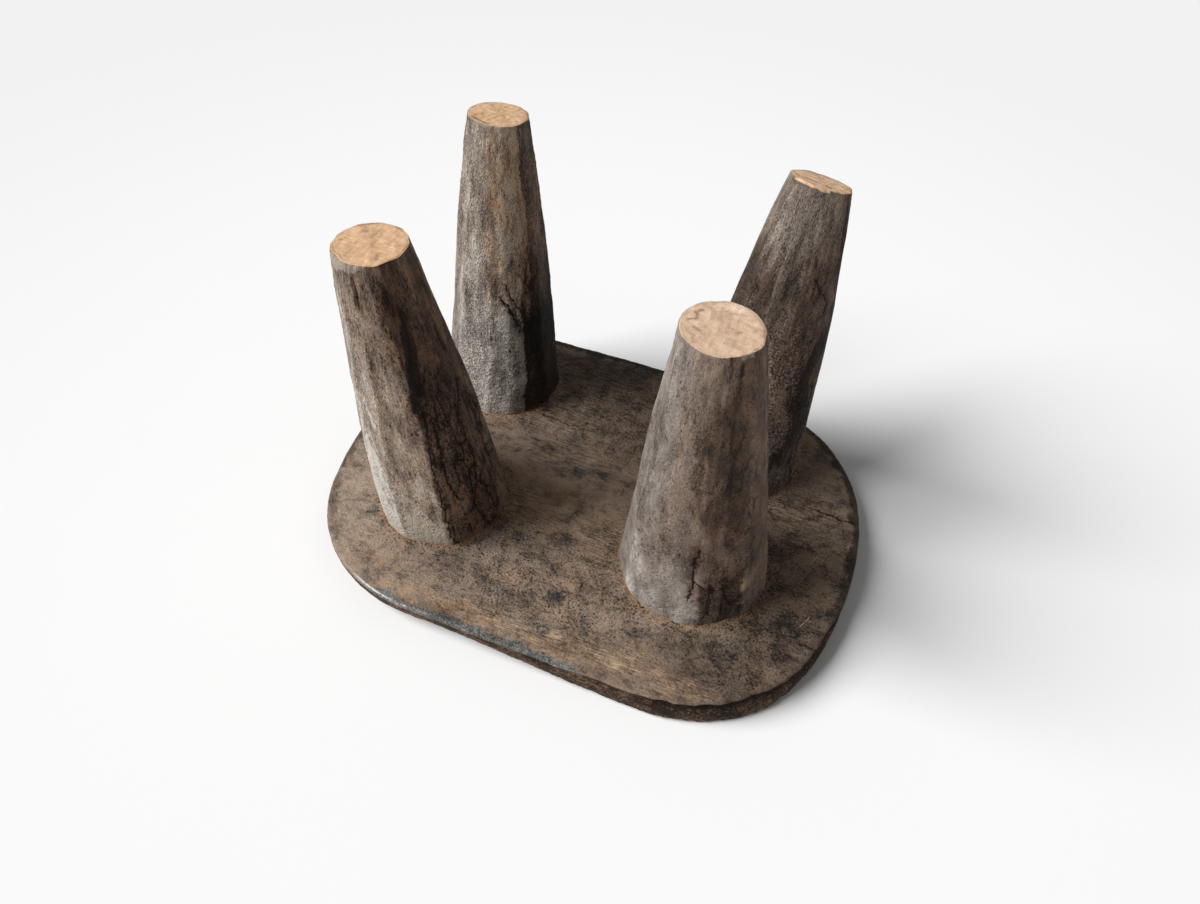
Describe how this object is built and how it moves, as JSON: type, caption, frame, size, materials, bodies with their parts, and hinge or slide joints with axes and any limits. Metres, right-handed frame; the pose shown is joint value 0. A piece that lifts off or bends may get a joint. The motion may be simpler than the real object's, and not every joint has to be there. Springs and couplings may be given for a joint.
{
  "type": "stool",
  "caption": "Low carved wooden stool: a rounded rectangular seat slab on splayed, tapering, faceted legs, stored turned over with its sitting face down.",
  "frame": {"origin": "middle of the seat's outline, on the plane of the sitting face; the stool is stored turned over, so that plane is what it rests on", "axes": "+X along the seat's long side, +Y across the seat from front to back, +Z from the sitting face to the feet; half a turn about X stands the stool on its feet"},
  "size_m": [0.336, 0.256, 0.218],
  "materials": {
    "seat_wood": "weathered, hand-cut, dull",
    "leg_wood": "weathered, hand-cut, dull"
  },
  "bodies": {
    "root": {"seat": "seat_wood", "leg_front_left": "leg_wood", "leg_front_right": "leg_wood", "leg_back_right": "leg_wood", "leg_back_left": "leg_wood"}
  },
  "joints": []
}
